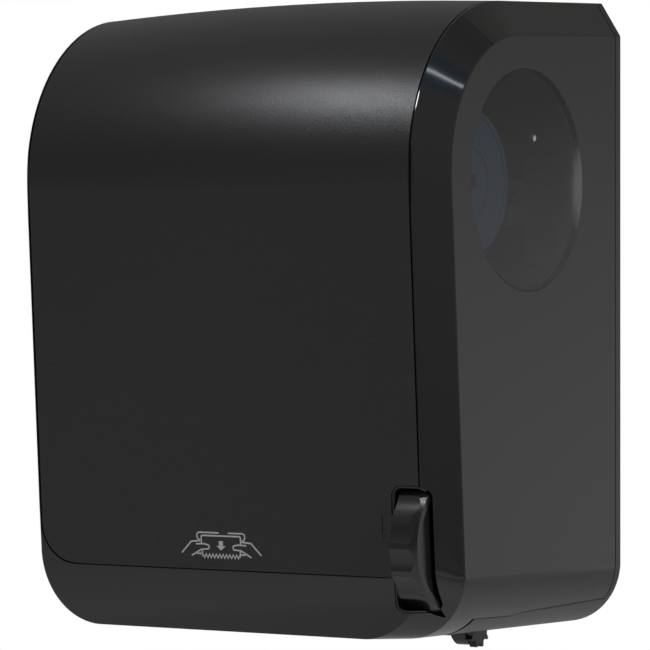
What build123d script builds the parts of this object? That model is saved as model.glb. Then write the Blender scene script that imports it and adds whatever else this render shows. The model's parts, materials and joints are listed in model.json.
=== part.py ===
from build123d import *
from math import acos, cos, degrees, hypot, pi, radians, sin, tan
import os

# Wall-mounted roll towel dispenser. Millimetres, +Z up, front towards -Y, wall plane at Y = 0.
# Heights below are measured from the bottom edge of the back plate; save() moves every
# piece so that the origin ends at the centre of the four wall screws.

# --- body envelope ---
body_width = 328.0
body_height = 414.0
body_depth = 242.6
top_front_radius = 111.4
side_draft = 0.009
top_slope = 0.059
floor_slope = 0.015
front_lean = 0.066
bevel_across = 14.2
bevel_depth = 25.0
bevel_down = 22.5
bottom_corner_radius = 42.0
front_corner_radius = 50.0

# --- walls and joints between mouldings ---
shell_wall = 3.0
panel_thickness = 2.5
panel_bed_gap = 0.2
panel_backing = 3.0
panel_groove = 1.2
panel_side_margin = 18.2
panel_bottom = 43.3
panel_corner_radius = 26.0
panel_rear_depth = 52.0
panel_crown = 4.3
panel_crown_rear = 0.8
panel_crown_low = 1.2
rim_depth = 6.5
cover_gap = 1.0
frame_seam_gap = 0.4
frame_seam_setback = 0.8
broken_edge = 0.5
touch_gap = 0.3
press_gap = 0.02
running_gap = 0.05

# --- wall mounting ---
screw_spacing_x = 200.0
screw_spacing_z = 250.0
screw_centre_height = 200.0
screw_hole_radius = 2.75
screw_boss_radius = 7.5
plate_thickness = 3.0

# --- seam between cover and lower housing, as depth from the wall and height ---
seam_back_height = 16.8
seam_bend_depth = 98.0
seam_bend_height = 14.6
seam_middle_depth = 140.0
seam_middle_height = 10.05
seam_front_depth = 166.0
seam_front_height = 3.9

# --- seam across each bevel, high on the front: two points as depth and height ---
bevel_seam_front = (181.0, 393.8)
bevel_seam_rear = (165.0, 375.0)

# --- cover hinge ---
hinge_depth = 180.0
hinge_height = 10.0
hinge_pin_radius = 2.5
hinge_lug_radius = 5.2
hinge_lug_width = 8.0
relief_from_hinge = 9.0
relief_turning_room = 3.6
hinge_ear_width = 4.0

# --- roll holder and windows ---
roll_depth = 122.9
roll_below_top = 122.3
window_radius = 71.0
window_gap = 0.25
window_thickness = 2.2
window_dome = 3.0
window_flange = 4.0
arm_inset = 54.0
arm_thickness = 4.0
hub_plug_length = 23.0
hub_plug_radius = 19.0
hub_shoulder_radius = 30.0
hub_axle_radius = 5.0
hub_disc_radius = 47.0
hub_disc_thickness = 3.0
hub_disc_offset = 8.0
hub_rib_count = 6

# --- drum, frames and gear train ---
works_width = 60.0
drum_radius = 44.0
drum_wall = 3.0
drum_shaft_radius = 5.0
grip_band_height = 1.2
grip_band_width = 12.0
grip_band_pitch = 42.0
frame_gap = 4.0
frame_thickness = 3.0
gear_offset = 2.5
gear_width = 8.0
gear_module = 2.5
drum_gear_teeth = 36
idler_teeth = 16
pinion_teeth = 18
pressure_angle = 20.0
gear_addendum = 0.8
gear_dedendum = 1.1
gear_backlash = 0.08
idler_direction = 60.0
drum_direction = 25.0
bush_wall = 4.0

# --- thumb wheel and its pocket ---
wheel_height = 63.0
wheel_radius = 45.3
wheel_protrusion = 12.3
wheel_side_inset = 14.7
wheel_side_room = 0.7
wheel_width = 19.1
wheel_bevel_x = 4.8
wheel_bevel_r = 2.7
wheel_flutes = 16
wheel_flute_depth = 1.5
wheel_flute_radius = 26.0
wheel_first_ridge = 0.5
wheel_axle_radius = 4.0
pocket_left_gap = 4.3
pocket_right_gap = 2.3
pocket_bottom = 21.0
pocket_top = 100.2
pocket_corner = 7.0
liner_wall = 1.2

# --- knife inside the drum ---
knife_slot_angle = 30.0
knife_slot_width = 10.0
knife_pivot_radial = 32.4
knife_pivot_across = -19.5
knife_base_radial = 30.5
knife_tip_radial = 42.0
knife_tooth_pitch = 8.0
knife_pin_radius = 2.0
knife_swing = 25.0

# --- pinch roller, paper path ---
pinch_direction = 165.0
pinch_radius = 9.0
pinch_shaft_radius = 3.0
exit_behind_drum = 12.4
exit_slot_depth = 24.0
exit_side_room = 1.0
collar_wall = 2.0
collar_height = 12.0
guide_thickness = 1.6
guide_clearance = 0.8

# --- exit roller ---
exit_roller_depth = 105.0
exit_roller_height = 2.5
exit_roller_radius = 11.3
exit_roller_inset = 4.0
exit_roller_length = 12.0
toothed_wheel_radius = 12.8
toothed_wheel_width = 5.0
toothed_wheel_teeth = 10

# --- cover lock ---
lock_depth = 30.0
lock_body_radius = 8.0
lock_core_radius = 5.0
lock_length = 17.0
cam_length = 20.0
cam_thickness = 3.0

os.makedirs("parts", exist_ok=True)

half_width = body_width / 2
steep = 300.0
corner_trim = 0.1
panel_half_width = half_width - panel_side_margin
drum_length = body_width - 2 * works_width
roll_height = body_height - roll_below_top
arm_x = half_width - arm_inset
hub_disc_x = arm_x + hub_disc_offset
hinge_lug_x = drum_length / 2
wheel_outer_x = half_width - wheel_side_inset
wheel_inner_x = wheel_outer_x - wheel_width


def save(node, *shapes):
    """Write one node, moved so that the wall screw pattern is centred on the origin."""
    solids = [solid for shape in shapes for solid in shape.solids()]
    export_step(Pos(0, 0, -screw_centre_height) * Compound(solids), f"parts/{node}.step")


def slab(outline, x_from, x_to):
    """Side-view outline, drawn in Y and Z, made solid between two X positions."""
    low = min(x_from, x_to)
    return extrude(Plane.YZ.offset(low) * outline, abs(x_to - x_from))


def rod(centre, radius, x_from, x_to):
    return slab(Pos(*centre) * Circle(radius), x_from, x_to)


def tube(centre, radius, bore, x_from, x_to):
    return rod(centre, radius, x_from, x_to) - rod(centre, bore, x_from - 1, x_to + 1)


def block(x_from, x_to, y_from, y_to, z_from, z_to):
    size = (abs(x_to - x_from), abs(y_to - y_from), abs(z_to - z_from))
    centre = ((x_from + x_to) / 2, (y_from + y_to) / 2, (z_from + z_to) / 2)
    return Pos(*centre) * Box(*size)


def front_prism(outline, depth_from, depth_to):
    """Front-view outline, drawn in X and Z, made solid between two depths."""
    return extrude(Plane.XZ.offset(depth_from) * outline, depth_to - depth_from)


def mirrored(shape):
    return mirror(shape, about=Plane.YZ)


def on_circle(centre, radius, angle):
    """Side-view point at an angle from the rearward direction, turning upwards."""
    return (centre[0] + radius * cos(radians(angle)), centre[1] + radius * sin(radians(angle)))


def hull(*circles):
    """Rounded plate round circles given as (y, z, radius)."""
    edges = [edge for y, z, radius in circles for edge in (Pos(y, z) * Circle(radius)).edges()]
    return make_hull(edges)


def front_depth(height):
    """Depth of the cover's front face at a height."""
    return body_depth - front_lean * (body_height - top_front_radius - height)


def top_height(depth):
    return body_height - top_slope * depth


# --- body envelope as a solid, also used smaller for its cavity ---
def side_plane(x):
    lean = side_draft if x >= 0 else -side_draft
    return Plane(origin=(x, 0, 0), x_dir=(-lean, -1, 0), z_dir=(-1, lean, 0))


def side_outline(front, floor, cut_front, cut_top):
    """Body seen from the side as depth and height, moved in at front, top and floor."""
    move_front = front + cut_front
    move_top = front + cut_top
    low_depth = body_depth - front_lean * (body_height - top_front_radius)
    top_depth = body_depth + front_lean * (top_front_radius - move_top) - move_front
    top_depth = top_depth / (1 + front_lean * top_slope)
    floor_depth = (low_depth + front_lean * floor - move_front) / (1 - front_lean * floor_slope)
    front_top = (top_depth, top_height(top_depth) - move_top)
    outline = Polyline(
        (0, floor),
        (floor_depth, floor_slope * floor_depth + floor),
        front_top,
        (0, body_height - move_top),
        close=True,
    )
    face = make_face(outline)
    corner = face.vertices().sort_by_distance((*front_top, 0))[0]
    radius = top_front_radius - front - (cut_front + cut_top) / 2
    return fillet(corner, radius)


def side_profile(x, front, floor, cut_front, cut_top):
    return side_plane(x) * side_outline(front, floor, cut_front, cut_top)


def bevelled_block(side, front, floor, edge=0.0):
    """Ruled loft through side outlines: front, bevels and, where wanted, their broken rear edges."""
    stations = [(bevel_across, 0.0, 0.0), (edge, 1 - edge / bevel_across, 0.0)]
    if edge:
        stations.append((0.0, 1.0, edge))
    right = []
    for inward, share, back in stations:
        x = half_width - side - inward
        right.append((x, front, floor, bevel_depth * share + back, bevel_down * share + back))
    left = [(-x, *cuts) for x, *cuts in reversed(right)]
    return loft([side_profile(*station) for station in left + right], ruled=True)


def corner_outline(depth, half, radius, low):
    """Front view at one depth, open upwards, with rounded lower corners."""
    high = body_height + 50
    spread = 0.05 * (high - low - radius)
    centre = (half - radius, low + radius)
    diagonal = radius * cos(radians(45))
    middle = (centre[0] + diagonal, centre[1] - diagonal)
    lines = Line((-centre[0], low), (centre[0], low))
    lines += ThreePointArc((centre[0], low), middle, (half, centre[1]))
    lines += Polyline((half, centre[1]), (half + spread, high), (-half - spread, high), (-half, centre[1]))
    lines += ThreePointArc((-half, centre[1]), (-middle[0], middle[1]), (-centre[0], low))
    return Plane.XZ.offset(depth) * make_face(lines)


def corner_core(side, front, floor):
    """Room between the lower corners, which grow rounder from the bevels' rear edges to the front."""
    end = front_depth(bottom_corner_radius) - front
    bend = end - bevel_depth
    stations = [(-5.0, 0.0), (bend, 0.0), (end + 15.0, 15.0 / bevel_depth + 1)]
    outlines = []
    for depth, share in stations:
        half = half_width - side - side_draft * depth - bevel_across * share + corner_trim
        radius = bottom_corner_radius - side + (front_corner_radius - bottom_corner_radius) * share
        outlines.append(corner_outline(depth, half, radius, floor + floor_slope * depth - corner_trim))
    return loft(outlines, ruled=True)


def body_form(side, front, floor):
    """Form of the body moved in at its sides, front and floor."""
    return bevelled_block(side, front, floor) & corner_core(side, front, floor)


def seam_zone(lift, gap):
    """Everything below the seam between cover and lower housing."""
    bend = (-seam_bend_depth, seam_bend_height + lift)
    middle = (-seam_middle_depth, seam_middle_height + lift)
    front = (-seam_front_depth - gap, seam_front_height + lift)
    back = (0, seam_back_height + lift)
    below = -50.0
    lines = Line(back, bend) + ThreePointArc(bend, middle, front)
    lines += Line(front, (front[0], below)) + Line((front[0], below), (0, below))
    lines += Line((0, below), back)
    return slab(make_face(lines), -body_width, body_width)


def front_zone(gap):
    """Everything in front of the bevels' rear edges and below the seam across the bevels."""
    side_view = Plane(origin=(0, 0, 0), x_dir=(0, -1, 0), z_dir=(-1, 0, 0))
    behind = side_outline(0, 0, bevel_depth + frame_seam_setback, bevel_down + frame_seam_setback)
    slope = (bevel_seam_front[1] - bevel_seam_rear[1]) / (bevel_seam_front[0] - bevel_seam_rear[0])
    low, ahead, inside = -60.0, body_depth + 40, bevel_seam_rear[0] - 20

    def seam_height(depth):
        return bevel_seam_rear[1] + slope * (depth - bevel_seam_rear[0]) - gap

    seam_front = (ahead, seam_height(ahead))
    seam_rear = (inside, seam_height(inside))
    outline = make_face(Polyline((inside, low), (ahead, low), seam_front, seam_rear, close=True))
    return extrude(side_view * (outline - behind), body_width, both=True)


def corner_relief(gap, from_hinge):
    """Stretch of both rounded lower corners that stays on the housing, clear of the wheel's sweep."""
    inner = half_width - bottom_corner_radius - 2 + gap
    outer = wheel_outer_x + wheel_side_room - gap
    front = hinge_depth - from_hinge
    relief = block(inner, outer, -front, -60 - gap, -10, bottom_corner_radius - 2)
    return relief + mirrored(relief)


outer_form = bevelled_block(0, 0, 0, broken_edge) & corner_core(0, 0, 0)
recess_depth = panel_thickness + panel_bed_gap
cavity = body_form(shell_wall, recess_depth + panel_backing, shell_wall)
thin_cavity = body_form(shell_wall, shell_wall, shell_wall)

# --- gear train: thumb wheel pinion, idler and drum gear, in mesh at rest ---
drum_pitch_radius = gear_module * drum_gear_teeth / 2
idler_pitch_radius = gear_module * idler_teeth / 2
pinion_pitch_radius = gear_module * pinion_teeth / 2
wheel_axis = (wheel_radius - wheel_protrusion - front_depth(wheel_height), wheel_height)
idler_axis = on_circle(wheel_axis, pinion_pitch_radius + idler_pitch_radius, idler_direction)
drum_axis = on_circle(idler_axis, idler_pitch_radius + drum_pitch_radius, drum_direction)
band_radius = drum_radius + grip_band_height
pinch_axis = on_circle(drum_axis, band_radius + pinch_radius + touch_gap, pinch_direction)
roll_axis = (-roll_depth, roll_height)
frame_x = drum_length / 2 + frame_gap
frame_outer = frame_x + frame_thickness
gear_x = frame_outer + gear_offset
hinge_axis = (-hinge_depth, hinge_height)
exit_rear_depth = exit_behind_drum - drum_axis[0]
exit_front_depth = exit_rear_depth + exit_slot_depth
exit_half_width = drum_length / 2 + exit_side_room
exit_roller_x = drum_length / 2 - exit_roller_inset
band_count = int((drum_length / 2 - grip_band_width) / grip_band_pitch)
band_places = [number * grip_band_pitch for number in range(-band_count, band_count + 1)]


def gear_outline(teeth, phase):
    """Spur gear seen from its end: involute flanks as short lines, one tooth at the phase."""
    pitch = gear_module * teeth / 2
    base = pitch * cos(radians(pressure_angle))
    root = pitch - gear_dedendum * gear_module
    tip = pitch + gear_addendum * gear_module

    def half_angle(radius):
        def involute(angle):
            return tan(angle) - angle

        at_pitch = involute(radians(pressure_angle))
        here = involute(acos(min(1.0, base / max(radius, base))))
        return degrees(pi / (2 * teeth) * (1 - gear_backlash) + at_pitch - here)

    points = []
    for tooth in range(teeth):
        middle = phase + 360.0 * tooth / teeth
        for radius in (root, pitch, tip):
            points.append(on_circle((0, 0), radius, middle - half_angle(radius)))
        for radius in (tip, pitch, root):
            points.append(on_circle((0, 0), radius, middle + half_angle(radius)))
    return make_face(Polyline(*points, close=True))


def mesh_phase(phase, teeth, other_teeth, direction):
    """Phase of a gear in mesh with one whose phase is known, lying in that direction."""
    pitch_angle = 360.0 / teeth
    ahead = (phase - direction + pitch_angle / 2) % pitch_angle - pitch_angle / 2
    return direction + 180.0 - ahead * teeth / other_teeth + 180.0 / other_teeth


pinion_phase = idler_direction
idler_phase = mesh_phase(pinion_phase, pinion_teeth, idler_teeth, idler_direction)
drum_phase = mesh_phase(idler_phase, idler_teeth, drum_gear_teeth, drum_direction)


def gear(axis, teeth, phase, bore, hub_radius):
    body = slab(Pos(*axis) * gear_outline(teeth, phase), gear_x, gear_x + gear_width)
    body += rod(axis, hub_radius, gear_x - gear_offset / 2, gear_x + gear_width)
    return body - rod(axis, bore, gear_x - gear_offset, gear_x + gear_width + 1)


# --- wheel pocket, shared by cover, panel and liner ---
pocket_left = wheel_inner_x - pocket_left_gap
pocket_right = wheel_outer_x + pocket_right_gap


def pocket_prism(inset):
    """Rounded opening round the thumb wheel, seen from the front, smaller by the inset."""
    width = pocket_right - pocket_left - 2 * inset
    height = pocket_top - pocket_bottom - 2 * inset
    centre = Pos((pocket_left + pocket_right) / 2, (pocket_top + pocket_bottom) / 2)
    outline = centre * RectangleRounded(width, height, pocket_corner - inset)
    return front_prism(outline, front_depth(0) - 40, body_depth + 20)


def wheel_sweep():
    """Room for the turning wheel."""
    return rod(wheel_axis, wheel_radius + 1.2, wheel_inner_x - 1.5, wheel_outer_x + wheel_side_room)


# --- front panel and its recess ---
def panel_prism(inset, rear):
    """Front view of the panel: straight sides, rounded lower corners."""
    half = panel_half_width - inset
    low = panel_bottom + inset
    high = body_height + 60
    outline = make_face(Polyline((-half, low), (half, low), (half, high), (-half, high), close=True))
    corners = outline.vertices().filter_by(lambda corner: corner.Y < high - 1)
    return front_prism(fillet(corners, panel_corner_radius - inset), rear, steep)


def crowned_face(rear_rise, crown, low_rise):
    """Side outline of the body raised by a crown: rear of the top, top-front arc and low front."""
    arc_top_depth = body_depth - top_front_radius
    slope = top_slope - (crown - rear_rise) / (arc_top_depth - panel_rear_depth)
    rise = (crown - low_rise) / (body_height - top_front_radius - panel_bottom)
    lean = front_lean + rise
    top_at_wall = top_height(panel_rear_depth) + rear_rise + slope * panel_rear_depth
    depth_at_arc = body_depth + crown
    base = body_height - top_front_radius
    corner_depth = (depth_at_arc + lean * (top_at_wall - base)) / (1 + lean * slope)
    corner = (-corner_depth, top_at_wall - slope * corner_depth)
    low = -20.0
    outline = Polyline(
        (10, low),
        (-(depth_at_arc - lean * (base - low)), low),
        corner,
        (10, top_at_wall + 10 * slope),
        close=True,
    )
    face = make_face(outline)
    nearest = face.vertices().sort_by_distance((*corner, 0))[0]
    return fillet(nearest, top_front_radius + crown)


def build_front_panel():
    """Panel lofted through three side outlines, so that its face swells towards the middle."""
    edge = crowned_face(0, 0, 0)
    middle = crowned_face(panel_crown_rear, panel_crown, panel_crown_low)
    end = panel_half_width + 1
    crowned = loft([Plane.YZ.offset(-end) * edge, Plane.YZ * middle, Plane.YZ.offset(end) * edge])
    bed = slab(crowned_face(-panel_thickness, -panel_thickness, -panel_thickness), -half_width, half_width)
    panel = (crowned & panel_prism(0, panel_rear_depth)) - bed
    return panel - pocket_prism(0)


# --- cover, in two mouldings: a shell with the sides and top, and a frame round the front ---
def build_cover():
    rear = rim_depth + cover_gap
    shell = outer_form - cavity
    shell -= block(-body_width, body_width, -rear, 10, -10, body_height + 10)
    shell -= seam_zone(cover_gap / 2, cover_gap)
    shell -= corner_relief(0, relief_from_hinge)
    recess = panel_prism(-panel_groove, panel_rear_depth - panel_groove)
    bed = slab(crowned_face(-recess_depth, -recess_depth, -recess_depth), -half_width, half_width)
    shell -= recess - bed
    shell -= rod(roll_axis, window_radius + window_gap, -body_width, body_width)
    shell -= pocket_prism(0)
    shell -= wheel_sweep()
    boss = Pos(0, -lock_depth, lock_top - 8) * Cylinder(lock_body_radius + 3, 14)
    shell += boss & cavity
    shell -= Pos(0, -lock_depth, lock_top) * Cylinder(lock_body_radius + running_gap, 60)
    shell += hinge_ears()
    shell -= hinge_cuts()
    return shell - front_zone(0), shell & front_zone(frame_seam_gap)


def hinge_span(side, gap):
    centre = side * hinge_lug_x
    reach = hinge_lug_width / 2 + gap
    return centre - reach, centre + reach


def hinge_ears():
    """Two ears each side of every hinge lug, standing on the cover's bottom wall."""
    ears = None
    root = (-hinge_depth - 1, shell_wall + floor_slope * hinge_depth, hinge_lug_radius)
    outline = hull((*hinge_axis, hinge_lug_radius), root)
    for side in (-1, 1):
        low, high = hinge_span(side, touch_gap)
        for start, end in ((low - hinge_ear_width, low), (high, high + hinge_ear_width)):
            ear = slab(outline, start, end) & outer_form
            ears = ear if ears is None else ears + ear
    return ears


def hinge_cuts():
    """Pin holes through the ears and the notch that each lug stands in."""
    cuts = rod(hinge_axis, hinge_pin_radius + running_gap, -hinge_lug_x - 20, hinge_lug_x + 20)
    for side in (-1, 1):
        low, high = hinge_span(side, touch_gap)
        cuts += block(low, high, -hinge_depth - 7, 12 - seam_front_depth, -5, hinge_height + 2)
    return cuts


def build_window(side):
    """Round smoke lens: a shallow dome with a flange that stays behind the wall."""
    wall_x = half_width - side_draft * roll_depth
    back = wall_x - shell_wall - 1.6
    flange_face = wall_x - shell_wall - 0.1
    top = wall_x + window_dome
    dome_radius = (window_radius**2 + window_dome**2) / (2 * window_dome)
    inner_radius = window_radius - window_thickness
    inner_rim = top - window_thickness - inner_radius**2 / (2 * dome_radius)
    middle = window_radius / 2
    pole = 1.0
    under = top - window_thickness
    sag = middle**2 / (2 * dome_radius)
    outline = Line((back, inner_radius), (back, window_radius + window_flange))
    outline += Line((back, window_radius + window_flange), (flange_face, window_radius + window_flange))
    outline += Line((flange_face, window_radius + window_flange), (flange_face, window_radius))
    outline += Line((flange_face, window_radius), (wall_x, window_radius))
    outline += ThreePointArc((wall_x, window_radius), (top - sag, middle), (top, pole))
    outline += Polyline((top, pole), (top, 0), (under, 0), (under, pole))
    outline += ThreePointArc((under, pole), (under - sag, middle), (inner_rim, inner_radius))
    outline += Line((inner_rim, inner_radius), (back, inner_radius))
    lens = revolve(Pos(0, *roll_axis) * make_face(outline), Axis((0, *roll_axis), (1, 0, 0)), 360)
    lens = lens.rotate(Axis((wall_x, *roll_axis), (0, 0, 1)), -degrees(side_draft))
    return lens if side > 0 else mirrored(lens)


def build_pocket_liner():
    """Thin frame in the wheel opening, cut back round the turning wheel."""
    rear = touch_gap - front_depth(pocket_top) + 24
    liner = pocket_prism(touch_gap) - pocket_prism(touch_gap + liner_wall)
    liner -= block(0, body_width, rear, 0, -10, body_height)
    liner -= block(half_width - bevel_across - 0.3, body_width, -steep, 0, -10, body_height)
    liner = (liner - wheel_sweep()) & body_form(0.4, 0.4, 0.4)
    return liner.solids().sort_by(SortBy.VOLUME)[-1]


# --- back plate and lower housing ---
def build_back_plate():
    plate = outer_form & block(-body_width, body_width, -rim_depth, 5, -10, body_height + 10)
    plate -= thin_cavity & block(-body_width, body_width, -30, -plate_thickness, 0, body_height)
    for x in (-1, 1):
        for z in (-1, 1):
            spot = (x * screw_spacing_x / 2, screw_centre_height + z * screw_spacing_z / 2)
            plate -= front_prism(Pos(*spot) * Circle(screw_hole_radius), -5, 30)
            boss = Pos(*spot) * (Circle(screw_boss_radius) - Circle(screw_hole_radius))
            plate += front_prism(boss, plate_thickness - 0.5, rim_depth - 1)
    rib_reach = half_width - shell_wall - 1
    for z in (45.0, 205.0, 225.0, body_height - 54):
        plate += block(-rib_reach, rib_reach, -rim_depth + 1, -plate_thickness + 0.5, z - 1, z + 1)
    for x in (-45.0, 45.0):
        plate += block(x - 1, x + 1, -rim_depth + 1, -plate_thickness + 0.5, 20, body_height - 34)
    shelf_height = top_height(lock_depth) - lock_length + cam_thickness + 1.5
    shelf_front = lock_depth - cam_length + 7
    plate += block(-10, 10, -shelf_front, -plate_thickness + 0.5, shelf_height, shelf_height + 2.5)
    plate += block(-7, 7, -shelf_front, -shelf_front + 2.5, shelf_height - 3, shelf_height)
    return plate


def build_lower_housing():
    zone = seam_zone(0, 0) - block(-body_width, body_width, -rim_depth, 10, -60, 60)
    corners = corner_relief(cover_gap, relief_from_hinge + relief_turning_room)
    tray = (outer_form - thin_cavity) & (zone + corners)
    floor_top = shell_wall + floor_slope * exit_rear_depth
    half = exit_half_width
    collar = block(-half - collar_wall, half + collar_wall, -exit_front_depth - collar_wall,
                   -exit_rear_depth + collar_wall, floor_top - 1.5, collar_height)
    tray += collar
    tray -= block(-half, half, -exit_front_depth, -exit_rear_depth, -10, 40)
    roller = toothed_wheel_radius + 2
    right = exit_roller_x + exit_roller_length + toothed_wheel_width + 2
    ahead = -exit_roller_depth - roller
    behind = -exit_roller_depth + roller
    tray -= block(exit_roller_x - 10, right, ahead, behind, -10, 30)
    rib_x = half_width - 24
    for x in (-rib_x, -rib_x / 2, rib_x / 2, rib_x):
        tray += block(x - 1, x + 1, -80, -rim_depth, floor_top - 2, floor_top + 5) & outer_form
    lug_root = (-seam_front_depth + 18, hinge_height - 1.5, 3.4)
    for side in (-1, 1):
        low, high = hinge_span(side, 0)
        lug = slab(hull((*hinge_axis, hinge_lug_radius - 1), lug_root), low, high)
        tray += lug - rod(hinge_axis, hinge_pin_radius + running_gap, low - 1, high + 1)
    return tray


# --- side frames and what is fixed to them ---
frame_back_high = 165.0
frame_back_low = 60.0
frame_back_radius = 6.0
tie_points = (
    on_circle(drum_axis, 86.5, 15.2),
    on_circle(drum_axis, 98.5, -32.0),
    on_circle(drum_axis, 75.0, 187.0),
)
tie_radius = 4.0
drum_bush_radius = drum_shaft_radius + bush_wall
wheel_bush_radius = wheel_axle_radius + bush_wall


def build_side_frame(side):
    back = -plate_thickness - frame_back_radius
    spots = [(back, frame_back_high, frame_back_radius), (back, frame_back_low, frame_back_radius)]
    spots += [(*pinch_axis, 18.0), (*tie_points[2], 8.0), (drum_axis[0], 62.0, 12.0)]
    if side > 0:
        spots += [(*wheel_axis, wheel_bush_radius + 5)]
    plate = slab(hull(*spots), frame_x, frame_outer)
    plate -= rod(drum_axis, drum_bush_radius + press_gap, frame_x - 1, frame_outer + 1)
    slot = Pos(*pinch_axis) * Rot(0, 0, pinch_direction) * SlotCenterToCenter(6, 2 * pinch_shaft_radius + 0.3)
    plate -= slab(slot, frame_x - 1, frame_outer + 1)
    for spot in (on_circle(drum_axis, 60.5, -14.5), on_circle(drum_axis, 65.0, -53.6)):
        plate -= rod(spot, 14.0, frame_x - 1, frame_outer + 1)
    flange = block(frame_x, frame_x + 14, -plate_thickness - 3, -plate_thickness,
                   frame_back_low, frame_back_high)
    plate += flange
    if side > 0:
        plate -= rod(wheel_axis, wheel_bush_radius + press_gap, frame_x - 1, frame_outer + 1)
        return plate
    return mirrored(plate)


def build_tie_rods():
    return [rod(spot, tie_radius, -frame_x, frame_x) for spot in tie_points]


def build_drum_bushes():
    bush = tube(drum_axis, drum_bush_radius, drum_shaft_radius + running_gap, frame_x - 2, frame_outer + 1)
    return [bush, mirrored(bush)]


def build_wheel_bush():
    bore = wheel_axle_radius + running_gap
    return tube(wheel_axis, wheel_bush_radius, bore, frame_x - 10, frame_outer + 1)


def build_idler_stud():
    stud = rod(idler_axis, 4.0, frame_outer, gear_x + gear_width + 1)
    return stud + rod(idler_axis, 6.5, gear_x + gear_width + 0.5, gear_x + gear_width + 2.5)


def build_roll_arm(side):
    back = -plate_thickness
    low = roll_height - 27
    shape = hull((*roll_axis, 13.0), (-20.0, roll_height - 14, 13.0))
    arm = slab(shape, arm_x, arm_x + arm_thickness)
    arm += block(arm_x, arm_x + arm_thickness, back, -32, low, roll_height - 1)
    arm -= slab(Pos(-72, roll_height - 7.5) * Rot(0, 0, -6) * SlotOverall(44, 8), arm_x - 1, arm_x + 5)
    arm += block(arm_x, arm_x + 9, back, -64, roll_height - 2.6, roll_height)
    arm += block(arm_x + arm_thickness, arm_x + 9, -50.5, -74, low, low + 12.5)
    arm += block(arm_x - 16, arm_x + 9, back - 3, back, low - 24, roll_height + 20)
    arm -= rod(roll_axis, hub_axle_radius + running_gap, arm_x - 1, arm_x + arm_thickness + 1)
    return arm if side > 0 else mirrored(arm)


def build_brake_pads():
    spot = (roll_axis[0] + 34, roll_axis[1] - 4)
    pad = rod(spot, 6.0, arm_x + arm_thickness, hub_disc_x - touch_gap)
    return [pad, mirrored(pad)]


def build_roll_hub(side):
    """Ribbed plug that carries the roll core, with its axle through the arm."""
    shoulder_end = arm_x - touch_gap
    start = shoulder_end - 2.5
    plug = rod(roll_axis, hub_plug_radius - 5, start - hub_plug_length, start)
    for number in range(hub_rib_count):
        rib = Pos(*roll_axis) * Rot(0, 0, 360 * number / hub_rib_count)
        plug += slab(rib * Pos(hub_plug_radius - 5, 0) * Rectangle(10, 2.4), start - hub_plug_length, start)
    plug += rod(roll_axis, hub_shoulder_radius, start, shoulder_end)
    plug += rod(roll_axis, hub_axle_radius, start, hub_disc_x + hub_disc_thickness)
    return plug if side > 0 else mirrored(plug)


def build_hub_disc(side):
    """See-through disc on the axle's outer end, dished, with a rolled rim."""
    end = hub_disc_x + hub_disc_thickness
    disc = rod(roll_axis, hub_disc_radius, hub_disc_x, end)
    disc -= rod(roll_axis, hub_disc_radius - 3, hub_disc_x + 1.6, end + 1)
    disc += tube(roll_axis, 24.0, 22.0, hub_disc_x, end)
    disc += rod(roll_axis, hub_axle_radius + 4, hub_disc_x, end + 1.5)
    disc -= rod(roll_axis, hub_axle_radius + press_gap, hub_disc_x - 1, end + 3)
    return disc if side > 0 else mirrored(disc)


# --- drum ---
drum_place = Pos(*drum_axis) * Rot(0, 0, knife_slot_angle)
slot_low = -knife_slot_width * 0.75
slot_high = knife_slot_width * 0.25


def knife_slot(radius_from, radius_to, reach):
    middle = Pos((radius_from + radius_to) / 2, (slot_low + slot_high) / 2)
    return slab(drum_place * middle * Rectangle(radius_to - radius_from, knife_slot_width), -reach, reach)


def build_drum_shells():
    half = drum_length / 2
    hollow = half - drum_wall
    drum = rod(drum_axis, drum_radius, -half, half) - rod(drum_axis, drum_radius - drum_wall, -hollow, hollow)
    drum += rod(drum_axis, drum_shaft_radius + 5, -half, -half + 16)
    drum += rod(drum_axis, drum_shaft_radius + 5, half - 16, half)
    drum -= rod(drum_axis, drum_shaft_radius + press_gap, -half - 1, half + 1)
    drum -= knife_slot(drum_radius - 8, drum_radius + 8, hollow - 1)
    pivot = drum_place * Pos(knife_pivot_radial, knife_pivot_across)
    drum -= slab(pivot * Circle(knife_pin_radius + running_gap), -half - 1, half + 1)
    window = drum_place * Pos(29.5, 5.5) * Rectangle(18, 9)
    drum -= slab(window, -half - 1, -hollow + 1)
    cutter = slab(drum_place * Pos(60, 0) * Rectangle(120, 120), -half - 1, half + 1)
    return drum & cutter, drum - cutter


def build_grip_bands():
    bands = []
    for middle in band_places:
        low, high = middle - grip_band_width / 2, middle + grip_band_width / 2
        band = tube(drum_axis, band_radius, drum_radius + press_gap, low, high)
        bands.append(band - knife_slot(drum_radius - 2, drum_radius + 8, drum_length))
    return bands


def build_drum_shaft():
    return rod(drum_axis, drum_shaft_radius, -gear_x - gear_width - 1, gear_x + gear_width + 1)


ratchet_teeth = 12
ratchet_tip = 20.0
ratchet_root = 15.5
ratchet_face = 84.0


def build_ratchet_wheel():
    points = []
    for tooth in range(ratchet_teeth):
        start = ratchet_face + 360.0 * tooth / ratchet_teeth
        points.append(on_circle((0, 0), ratchet_tip, start))
        points.append(on_circle((0, 0), (ratchet_root + ratchet_tip) / 2, start + 180.0 / ratchet_teeth))
        points.append(on_circle((0, 0), ratchet_root, start + 360.0 / ratchet_teeth))
    wheel = slab(Pos(*drum_axis) * make_face(Polyline(*points, close=True)), -gear_x - 5, -gear_x)
    return wheel - rod(drum_axis, drum_shaft_radius + press_gap, -gear_x - 6, -gear_x + 1)


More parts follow.
